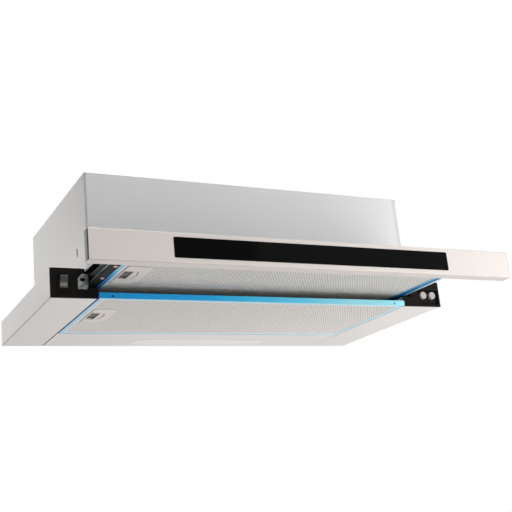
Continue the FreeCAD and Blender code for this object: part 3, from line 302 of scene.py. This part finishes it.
# Zinc plated steel: cold grey metal, blotchy where the bath crystallised
def zincPlate():
    look = {"spangle": 5.0, "tones": ("#8f9594", "#b6bab8"), "rough": (0.3, 0.48)}
    material, shader = newMaterial("steel, zinc plated, dull", {"Metallic": 0.7})
    place = addNode(material, "ShaderNodeTexCoord").outputs["Object"]
    cells = addNode(material, "ShaderNodeTexVoronoi", {"Scale": 1000 / look["spangle"]}, {"Vector": place})
    shade = addNode(material, "ShaderNodeSeparateColor", {}, {"Color": cells.outputs["Color"]})
    tones = addNode(
        material,
        "ShaderNodeMix",
        {"data_type": "RGBA", 6: linear(look["tones"][0]), 7: linear(look["tones"][1])},
        {0: shade.outputs["Red"]},
    )
    feed(material, shader, "Base Color", tones.outputs[2])
    gloss = addNode(
        material,
        "ShaderNodeMapRange",
        {"To Min": look["rough"][0], "To Max": look["rough"][1]},
        {"Value": shade.outputs["Green"]},
    )
    feed(material, shader, "Roughness", gloss.outputs["Result"])
    return material


dress(
    zincPlate(),
    "slide_brackets_left",
    "slide_brackets_right",
    "slide_rail_fixed_left",
    "slide_rail_fixed_right",
    "slide_rail_moving_left",
    "slide_rail_moving_right",
    "slide_ball_cage_left",
    "slide_ball_cage_right",
    "scroll_left",
    "scroll_right",
    "motor_bracket",
    "collar_screws",
    "motor_shaft",
    "flap_pin",
)

# Yellow passivated rivets: a brown gold chromate skin. The spread of their two tones, dark brown and pale, laid
# in small patches, is painted shade and painted highlight.
rivetShadeHighlightLook = {
    "tones": ("#8a5534", "#dcc4b2"),
    "patch": 4.0,
    "grain": 0.6,
    "relief": 0.02,
    "rough": (0.25, 0.4),
}
dress(mottled("steel, zinc plated, yellow passivated", rivetShadeHighlightLook, {"Metallic": 0.6}), "visor_rivets")

# The visor's left side member and rear bar are near black and matt, with no gloss to catch the light
blackSheetLook = {
    "tones": ("#080a0b", "#0e1112"),
    "patch": 60.0,
    "grain": 1.8,
    "relief": 0.004,
    "rough": (0.5, 0.62),
}
dress(
    mottled("steel, near black, matt", blackSheetLook, {"IOR": 1.5, "Specular IOR Level": 0.08}),
    "visor_side_left",
    "visor_rear_bar",
)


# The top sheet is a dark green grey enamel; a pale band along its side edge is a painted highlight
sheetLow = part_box("visor_top_sheet")[0]
topSheetLook = {
    "tones": ("#2b3433", "#333c3b"),
    "patch": 40.0,
    "grain": 1.8,
    "relief": 0.004,
    "rough": (0.35, 0.5),
    # the pale band on the side edge: a painted highlight
    "marks": [{"tone": "#d3d5d3", "centre": tuple(sheetLow), "half": (1.8 * mm, 1.0, 1.0)}],
}
dress(mottled("steel, green grey enamelled, painted edge highlight", topSheetLook, {"IOR": 1.5}), "visor_top_sheet")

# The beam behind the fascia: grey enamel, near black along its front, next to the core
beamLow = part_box("visor_front_beam")[0]
beamLook = {
    "tones": ("#4a423f", "#544c48"),
    "patch": 60.0,
    "grain": 1.8,
    "relief": 0.004,
    "rough": (0.4, 0.5),
    "marks": [{"tone": "#0d0a09", "centre": (0.0, beamLow.y, 0.0), "half": (1.0, 2.2 * mm, 1.0)}],
}
dress(mottled("steel, grey enamelled, satin", beamLook, {"IOR": 1.5}), "visor_front_beam")

# Float glass, painted black behind: deep, even, only faint roller waves on its face
glassLook = {
    "tones": ("#050404", "#080706"),
    "patch": 120.0,
    "grain": 45.0,
    "relief": 0.004,
    "rough": (0.04, 0.07),
}
dress(
    mottled("glass, back painted black, polished", glassLook, {"IOR": 1.52, "Specular IOR Level": 0.03}),
    "fascia_glass",
)

# ABS, moulded cream: an even satin, a little warmer than the enamel
latchLook = {
    "tones": ("#d5cdc6", "#ddd6cf"),
    "patch": 18.0,
    "grain": 0.8,
    "relief": 0.012,
    "rough": (0.4, 0.5),
}
dress(
    mottled("ABS, moulded, cream satin", latchLook, {"IOR": 1.5}),
    "upper_latch_plate",
    "lower_latch_plate",
)

# ABS, moulded olive grey, satin, its tone varying in patches; the dark olive grey is painted shade, for the
# shaded recess in the latch's window
sliderShadeLook = {
    "tones": ("#4d4b40", "#666355"),
    "patch": 5.0,
    "grain": 0.8,
    "relief": 0.012,
    "rough": (0.45, 0.55),
}
dress(
    mottled("ABS, moulded, olive grey, painted shade", sliderShadeLook, {"IOR": 1.5}),
    "upper_latch_slider",
    "lower_latch_slider",
)

# Acrylic, extruded opal: milky and smooth, with a wide soft highlight
lensLook = {
    "tones": ("#e2e0de", "#e9e7e5"),
    "patch": 30.0,
    "grain": 1.2,
    "relief": 0.01,
    "rough": (0.3, 0.38),
}
dress(mottled("acrylic, extruded, opal", lensLook, {"IOR": 1.49}), "lamp_lens")

# Polypropylene, moulded white: even and waxy
whitePlasticLook = {
    "tones": ("#e0dfdc", "#e9e8e5"),
    "patch": 25.0,
    "grain": 0.8,
    "relief": 0.01,
    "rough": (0.45, 0.55),
}
dress(mottled("polypropylene, moulded white", whitePlasticLook, {"IOR": 1.49}), "lamp_reflector")

# Glass fibre board under solder mask: off white, with the weave faint in its gloss
boardLook = {
    "tones": ("#d5dad3", "#dde1da"),
    "patch": 4.0,
    "grain": 0.5,
    "relief": 0.02,
    "rough": (0.3, 0.5),
}
dress(mottled("glass fibre board, white solder mask", boardLook, {"IOR": 1.55}), "lamp_board")

# Glass filled nylon, moulded: dark and dull, roughened a little by its fibres
wheelLook = {
    "tones": ("#2c2c2e", "#353537"),
    "patch": 20.0,
    "grain": 0.9,
    "relief": 0.02,
    "rough": (0.5, 0.6),
}
dress(mottled("glass filled nylon, moulded", wheelLook, {"IOR": 1.53}), "impeller", "impeller_blades")

# Cast iron, dipped in enamel: near black, with the casting's grain showing through
motorLook = {
    "tones": ("#222224", "#303032"),
    "patch": 12.0,
    "grain": 1.5,
    "relief": 0.06,
    "rough": (0.35, 0.5),
}
dress(mottled("cast iron, dipped in enamel", motorLook, {"IOR": 1.5}), "motor")

# Polypropylene, moulded smooth: pale grey with a soft gloss
canLook = {
    "tones": ("#b9babc", "#c6c7c9"),
    "patch": 20.0,
    "grain": 1.0,
    "relief": 0.01,
    "rough": (0.3, 0.4),
}
dress(mottled("polypropylene, moulded, smooth grey", canLook, {"IOR": 1.49}), "capacitor")

# PVC, extruded: a grey sheath with a low even gloss
leadLook = {
    "tones": ("#838383", "#8f8f8f"),
    "patch": 30.0,
    "grain": 1.2,
    "relief": 0.02,
    "rough": (0.45, 0.55),
}
dress(mottled("PVC, extruded grey sheath", leadLook, {"IOR": 1.53}), "wiring")


# Aluminium under a blue protective film, in painted light: its tones run along a line, deep blue to pale, as
# painted reflection and painted shade. A dark band at the film's cut edge is painted shade, and a pale band
# along its inner edge is a painted highlight.
film = {"noiseSize": 35.0, "relief": 0.04, "rough": (0.26, 0.4)}

# From a filter frame's right edge in to its mesh
meshInset = 0.9


def frameRight(node):
    # a filter frame's right edge, which its tabs reach past
    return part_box(node.replace("frame", "mesh"))[1].x + meshInset * mm


def filmed(name, node, look):
    low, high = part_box(node)
    material, shader = newMaterial(name, {"Metallic": 0.15, "IOR": 1.5, "Specular IOR Level": 0.12})
    place = addNode(material, "ShaderNodeTexCoord").outputs["Object"]
    strayNoise = addNode(
        material,
        "ShaderNodeTexNoise",
        {"Scale": 1000 / film["noiseSize"], "Detail": 4.0, "Roughness": 0.6},
        {"Vector": place},
    ).outputs["Fac"]
    tone = tonesAlong(material, place, look["line"], look["stops"], strayNoise)
    if "rim" in look:
        # painted bands at a depth inside the frame's outline: shade at the cut edge, highlight at the inner
        # edge
        high.x = frameRight(node)
        past = pastBox(material, place, (low + high) / 2, (high - low) / 2)
        depth = addNode(
            material, "ShaderNodeMath", {"operation": "MAXIMUM"}, {0: past["X"], 1: past["Y"]}
        ).outputs["Value"]
        for key, middleDepth, halfWidth in look["rim"]:
            band = addNode(
                material,
                "ShaderNodeMath",
                {"operation": "COMPARE", 1: -middleDepth * mm, 2: halfWidth * mm},
                {0: depth},
            ).outputs["Value"]
            tone = addNode(
                material, "ShaderNodeMix", {"data_type": "RGBA", 7: linear(look[key])}, {0: band, 6: tone}
            ).outputs[2]
    if "front" in look:
        # the front face shows the film over its turned edge, in its own run of painted light
        split = addNode(material, "ShaderNodeSeparateXYZ", {}, {"Vector": place})
        face = addNode(
            material,
            "ShaderNodeMath",
            {"operation": "LESS_THAN", 1: low.y + look["turn"] * mm},
            {0: split.outputs["Y"]},
        ).outputs["Value"]
        front = tonesAlong(material, place, look["line"], look["front"], strayNoise)
        tone = addNode(
            material, "ShaderNodeMix", {"data_type": "RGBA"}, {0: face, 6: tone, 7: front}
        ).outputs[2]
    feed(material, shader, "Base Color", tone)
    gloss = addNode(
        material,
        "ShaderNodeMapRange",
        {"To Min": film["rough"][0], "To Max": film["rough"][1]},
        {"Value": strayNoise},
    )
    feed(material, shader, "Roughness", gloss.outputs["Result"])
    wrinkles = addNode(
        material, "ShaderNodeBump", {"Distance": film["relief"] * mm, "Strength": 1.0}, {"Height": strayNoise}
    )
    feed(material, shader, "Normal", wrinkles.outputs["Normal"])
    return material


lowCorner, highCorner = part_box("lower_filter_frame")
# the lower film's runs of tones, across the frame and along its front face, are painted reflection and painted
# shade
lowerFilm = {
    "line": ((lowCorner.x, 0, 0), (highCorner.x, 0, 0)),
    "stops": ((0.0, "#a4c6db"), (0.5, "#b4d2e0"), (1.0, "#b9e0ee")),
    "front": (
        (0.0, "#24a0e6"),
        (0.3, "#2daced"),
        (0.45, "#43c0ed"),
        (0.62, "#68cdee"),
        (0.8, "#99deed"),
        (1.0, "#99deed"),
    ),
    "turn": 1.0,
    "rim": (("cut", 0.6, 0.8), ("inner", 7.3, 0.7)),
    "cut": "#3379ad",
    "inner": "#d3f0f6",
}
dress(filmed("aluminium, blue filmed, painted light, lower filter", "lower_filter_frame", lowerFilm), "lower_filter_frame")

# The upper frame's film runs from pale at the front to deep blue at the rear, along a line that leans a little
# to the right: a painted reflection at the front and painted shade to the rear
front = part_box("upper_filter_frame")[0].y
upperFilm = {
    "line": ((0, front, 0), (0.0087, front + 0.1162, 0)),
    "stops": ((0.0, "#8fb0c6"), (0.42, "#8fb4cc"), (0.58, "#48a6dc"), (0.8, "#2f88c3"), (1.0, "#2a78b4")),
    "rim": (("cut", 0.5, 0.5), ("inner", 7.3, 0.7)),
    "cut": "#2f7fb8",
    "inner": "#cfe9f2",
}
dress(filmed("aluminium, blue filmed, painted light, upper filter", "upper_filter_frame", upperFilm), "upper_filter_frame")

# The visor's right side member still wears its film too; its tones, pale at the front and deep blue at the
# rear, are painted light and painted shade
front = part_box("visor_side_right")[0].y
sideFilm = {
    "line": ((0, front, 0), (0, front + 0.15, 0)),
    "stops": ((0.0, "#e2f6fc"), (0.6, "#bfe2f0"), (0.8, "#7fb9d8"), (1.0, "#2f6f9c")),
}
dress(filmed("steel, blue filmed, painted light", "visor_side_right", sideFilm), "visor_side_right")


# Expanded aluminium foil, stacked: grey depth behind the bright strands. The pack is painted paler towards the
# rear: painted light against the shade there. Each pack's entry says from where, to where, in metres, and how
# far it pales.
packLook = {
    "cell": (4.0, 6.2, 10.0),
    "tones": ("#7a7773", "#bebab6"),
    "pale": "#f2efeb",
    # the pack's front side face, seen through the frame's holes, is dark: painted shade
    "side": "#0f2233",
    "skin": 0.2,
    "relief": 0.5,
    "rough": (0.4, 0.6),
    "paintedRearLight": {"upper_filter_mesh": (-0.292, -0.27, 1.0), "lower_filter_mesh": (-0.282, -0.14, 0.4)},
}


def layeredFoil(node, look):
    start, end, share = look["paintedRearLight"][node]
    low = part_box(node)[0]
    material, shader = newMaterial("aluminium foil, expanded, stacked, " + node, {"Metallic": 0.3, "IOR": 1.45})
    place = addNode(material, "ShaderNodeTexCoord").outputs["Object"]
    stretch = addNode(
        material,
        "ShaderNodeMapping",
        {"Scale": tuple(1000 / size for size in look["cell"])},
        {"Vector": place},
    )
    cells = addNode(material, "ShaderNodeTexVoronoi", {"Scale": 1.0}, {"Vector": stretch.outputs["Vector"]})
    tones = addNode(
        material,
        "ShaderNodeMix",
        {"data_type": "RGBA", 6: linear(look["tones"][0]), 7: linear(look["tones"][1])},
        {0: cells.outputs["Distance"]},
    )
    split = addNode(material, "ShaderNodeSeparateXYZ", {}, {"Vector": place})
    depth = addNode(
        material,
        "ShaderNodeMapRange",
        {"From Min": start, "From Max": end, "To Max": share},
        {"Value": split.outputs["Y"]},
    )
    # paler towards the rear: painted light
    paler = addNode(
        material,
        "ShaderNodeMix",
        {"data_type": "RGBA", 7: linear(look["pale"])},
        {0: depth.outputs["Result"], 6: tones.outputs[2]},
    )
    # dark on the front side face: painted shade
    side = addNode(
        material,
        "ShaderNodeMath",
        {"operation": "LESS_THAN", 1: low.y + look["skin"] * mm},
        {0: split.outputs["Y"]},
    )
    tone = addNode(
        material,
        "ShaderNodeMix",
        {"data_type": "RGBA", 7: linear(look["side"])},
        {0: side.outputs["Value"], 6: paler.outputs[2]},
    )
    feed(material, shader, "Base Color", tone.outputs[2])
    crumple = addNode(
        material,
        "ShaderNodeBump",
        {"Distance": look["relief"] * mm, "Strength": 1.0},
        {"Height": cells.outputs["Distance"]},
    )
    feed(material, shader, "Normal", crumple.outputs["Normal"])
    gloss = addNode(
        material,
        "ShaderNodeMapRange",
        {"To Min": look["rough"][0], "To Max": look["rough"][1]},
        {"Value": cells.outputs["Distance"]},
    )
    feed(material, shader, "Roughness", gloss.outputs["Result"])
    return material


for node in ("upper_filter_mesh", "lower_filter_mesh"):
    dress(layeredFoil(node, packLook), node)

# Aluminium foil, slit and drawn: bright strands, dulled where drawing creased them
strandLook = {
    "tones": ("#ece8e4", "#f4f1ed"),
    "patch": 40.0,
    "grain": 1.0,
    "relief": 0.02,
    "rough": (0.34, 0.46),
}
strandFoil = mottled("aluminium foil, slit and drawn", strandLook, {"Metallic": 0.35})
print("materials done")


# The face layer of each filter: diamonds slit and drawn from one foil. Real ones are finer than the
# picture can show, so these are as coarse as they need to be to show.
foil = {
    "cellLength": 4.0,
    "cellWidth": 6.2,
    "strand": 0.5,
    "ridge": 0.25,
    "thickness": 0.2,
    "flange": 8.0,
    "overlap": 1.2,
    "height": 0.45,
}

# Points closer than this, in metres, lie in one plane
same = 1e-6


def makeFoil(name, body, node, latchNode):
    low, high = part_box(node)
    plateLow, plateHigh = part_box(latchNode)
    inset = (foil["flange"] - foil["overlap"]) * mm
    x0, x1 = low.x + inset, frameRight(node) - inset
    y0, y1 = low.y + inset, high.y - inset
    middle = (x0 + x1) / 2
    for side, left, right in (("left", x0, middle), ("right", middle, x1)):
        bm = bmesh.new()
        across, deep = (right - left) / (foil["cellLength"] * mm), (y1 - y0) / (foil["cellWidth"] * mm)
        count = math.ceil(across + deep) + 2
        bmesh.ops.create_grid(bm, x_segments=count, y_segments=count, size=count / 2)
        # turned to stand on its corners, then drawn out to the cell's size
        bmesh.ops.rotate(bm, verts=bm.verts, cent=(0, 0, 0), matrix=Matrix.Rotation(math.pi / 4, 3, "Z"))
        stretch = (foil["cellLength"] * mm / math.sqrt(2), foil["cellWidth"] * mm / math.sqrt(2), 1)
        bmesh.ops.scale(bm, verts=bm.verts, vec=stretch)
        # whole cells from the middle, so that the two halves meet in one row of diamonds
        steps = round(across / 2)
        away = math.copysign(steps * foil["cellLength"] * mm, left + right - 2 * middle)
        centre = Vector((middle + away, (y0 + y1) / 2, low.z + foil["height"] * mm))
        bmesh.ops.translate(bm, verts=bm.verts, vec=centre)
        for point, normal in (
            ((left, 0, 0), (-1, 0, 0)),
            ((right, 0, 0), (1, 0, 0)),
            ((0, y0, 0), (0, -1, 0)),
            ((0, y1, 0), (0, 1, 0)),
        ):
            parts = bm.verts[:] + bm.edges[:] + bm.faces[:]
            bmesh.ops.bisect_plane(bm, geom=parts, plane_co=point, plane_no=normal, clear_outer=True)
        # none behind the latch plate
        hidden = []
        for face in bm.faces:
            c = face.calc_center_median()
            if plateLow.x < c.x < plateHigh.x and plateLow.y < c.y < plateHigh.y:
                hidden.append(face)
        bmesh.ops.delete(bm, geom=hidden, context="FACES")
        cells = bm.faces[:]
        bmesh.ops.inset_individual(
            bm, faces=cells, thickness=foil["strand"] * mm, depth=foil["ridge"] * mm, use_even_offset=True
        )
        bmesh.ops.delete(bm, geom=cells, context="FACES")
        # no strand runs along the cut between the halves
        cut = [edge for edge in bm.edges if all(abs(v.co.x - middle) < same for v in edge.verts)]
        seam = dict.fromkeys(face for edge in cut for face in edge.link_faces)
        bmesh.ops.delete(bm, geom=list(seam), context="FACES")
        bmesh.ops.recalc_face_normals(bm, faces=bm.faces)
        bmesh.ops.solidify(bm, geom=bm.faces[:], thickness=foil["thickness"] * mm)
        mesh = bpy.data.meshes.new(name + "_" + side)
        bm.to_mesh(mesh)
        bm.free()
        mesh.materials.append(strandFoil)
        piece = bpy.data.objects.new(name + "_" + side, mesh)
        bpy.context.scene.collection.objects.link(piece)
        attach(piece, body)
        print(piece.name, len(mesh.polygons), "faces")


makeFoil("lower_filter_foil", "lower_filter", "lower_filter_frame", "lower_latch_plate")
makeFoil("upper_filter_foil", "visor", "upper_filter_frame", "upper_latch_plate")


# Room, lamps and camera

room = {
    "floorLevel": -1.5,
    "floorSize": 14.0,
    "floorTones": ("#e4e3e1", "#eae9e7"),
    "floorGlow": ("#f6f6f5", 0.75),
    "ambient": 0.03,
    "aim": (0.0, -0.25, 0.03),
    "lamps": {
        "topLamp": {"place": (0.0, -0.5, 2.0), "size": 1.2, "watts": 37.0},
        "frontLamp": {"place": (0.0, -3.0, 0.1), "size": 1.2, "watts": 8.5},
        "keyLamp": {"place": (0.9, -1.1, 0.25), "size": 1.2, "watts": 3.9},
        "nearLamp": {"place": (0.8, -0.8, -0.1), "size": 0.6, "watts": 1.2},
        "lowFrontLamp": {"place": (0.9, -1.6, -0.65), "size": 1.2, "watts": 7.6},
        "underLamp": {"place": (0.5, -0.6, -0.6), "size": 0.8, "watts": 3.4},
        "leftLamp": {"place": (-1.6, -0.6, -0.2), "size": 1.2, "watts": 4.2},
        "lowRightLamp": {"place": (0.6, 0.6, -0.5), "size": 1.2, "watts": 1.4},
        "lowRearLamp": {"place": (0.0, 0.9, -0.7), "size": 1.2, "watts": 1.6},
        "backLamp": {"place": (-0.6, 2.6, 0.9), "size": 1.2, "watts": 10.0},
    },
}


def backdropRays(holder):
    # 1 for the rays that show a backdrop: the camera's, reflections and rays through glass
    path = addNode(holder, "ShaderNodeLightPath")
    seen = path.outputs["Is Camera Ray"]
    for kind in ("Is Glossy Ray", "Is Transmission Ray"):
        seen = addNode(
            holder, "ShaderNodeMath", {"operation": "MAXIMUM"}, {0: seen, 1: path.outputs[kind]}
        ).outputs["Value"]
    return seen


# Paper, matt white: no gloss, only a trace of fibre
paperLook = {"tones": room["floorTones"], "patch": 900.0, "grain": 4.0, "relief": 0.05, "rough": (0.7, 0.8)}


def makeFloor():
    bm = bmesh.new()
    bmesh.ops.create_grid(bm, x_segments=2, y_segments=2, size=room["floorSize"] / 2)
    bmesh.ops.translate(bm, verts=bm.verts, vec=(0, 0, room["floorLevel"]))
    mesh = bpy.data.meshes.new("studio_floor")
    bm.to_mesh(mesh)
    bm.free()
    paper = mottled("paper, matt white", paperLook, {"IOR": 1.45})
    mesh.materials.append(paper)
    # the eye and reflections see mostly even white paper, with the lamps' light and the shadow faint on it
    tree = paper.node_tree
    tone, share = room["floorGlow"]
    seen = backdropRays(paper)
    part = addNode(paper, "ShaderNodeMath", {"operation": "MULTIPLY", 1: share}, {0: seen})
    glow = addNode(paper, "ShaderNodeEmission", {"Color": linear(tone), "Strength": 1.0})
    both = addNode(
        paper,
        "ShaderNodeMixShader",
        {},
        {
            0: part.outputs["Value"],
            1: tree.nodes["Principled BSDF"].outputs["BSDF"],
            2: glow.outputs["Emission"],
        },
    )
    tree.links.new(both.outputs["Shader"], tree.nodes["Material Output"].inputs["Surface"])
    floor = bpy.data.objects.new("studio_floor", mesh)
    bpy.context.scene.collection.objects.link(floor)


def makeWorld():
    # white to the eye and in reflections, a softer even light on everything else
    world = bpy.data.worlds.new("studio")
    world.use_nodes = True
    bpy.context.scene.world = world
    tree = world.node_tree
    tree.nodes.clear()
    seen = backdropRays(world)
    soft = addNode(world, "ShaderNodeBackground", {"Color": (1, 1, 1, 1), "Strength": room["ambient"]})
    white = addNode(world, "ShaderNodeBackground", {"Color": (1, 1, 1, 1), "Strength": 1.0})
    both = addNode(
        world,
        "ShaderNodeMixShader",
        {},
        {0: seen, 1: soft.outputs["Background"], 2: white.outputs["Background"]},
    )
    addNode(world, "ShaderNodeOutputWorld", {}, {"Surface": both.outputs["Shader"]})


def makeLamps():
    for name, lamp in room["lamps"].items():
        data = bpy.data.lights.new(name, "AREA")
        data.shape = "DISK"
        data.size = lamp["size"]
        data.energy = lamp["watts"]
        item = bpy.data.objects.new(name, data)
        item.location = lamp["place"]
        toAim = Vector(room["aim"]) - Vector(lamp["place"])
        item.rotation_euler = toAim.to_track_quat("-Z", "Y").to_euler()
        item.visible_camera = False
        bpy.context.scene.collection.objects.link(item)


# Fitted to the edges of the box and the base in the photograph
view = {
    "place": (-0.5861, -1.3583, -0.2923),
    "turn": (106.1503, 5.5823, -26.9331),
    "lens": 64.455,
    "shift": (-0.01224, 0.00834),
}


def makeCamera():
    data = bpy.data.cameras.new("camera")
    data.sensor_width = 36.0
    data.lens = view["lens"]
    data.shift_x, data.shift_y = view["shift"]
    camera = bpy.data.objects.new("camera", data)
    camera.location = view["place"]
    camera.rotation_euler = Euler([math.radians(a) for a in view["turn"]], "XYZ")
    bpy.context.scene.collection.objects.link(camera)
    bpy.context.scene.camera = camera


makeFloor()
makeWorld()
makeLamps()
makeCamera()
bpy.context.scene.view_settings.view_transform = "Standard"
print("room, lamps and camera done")
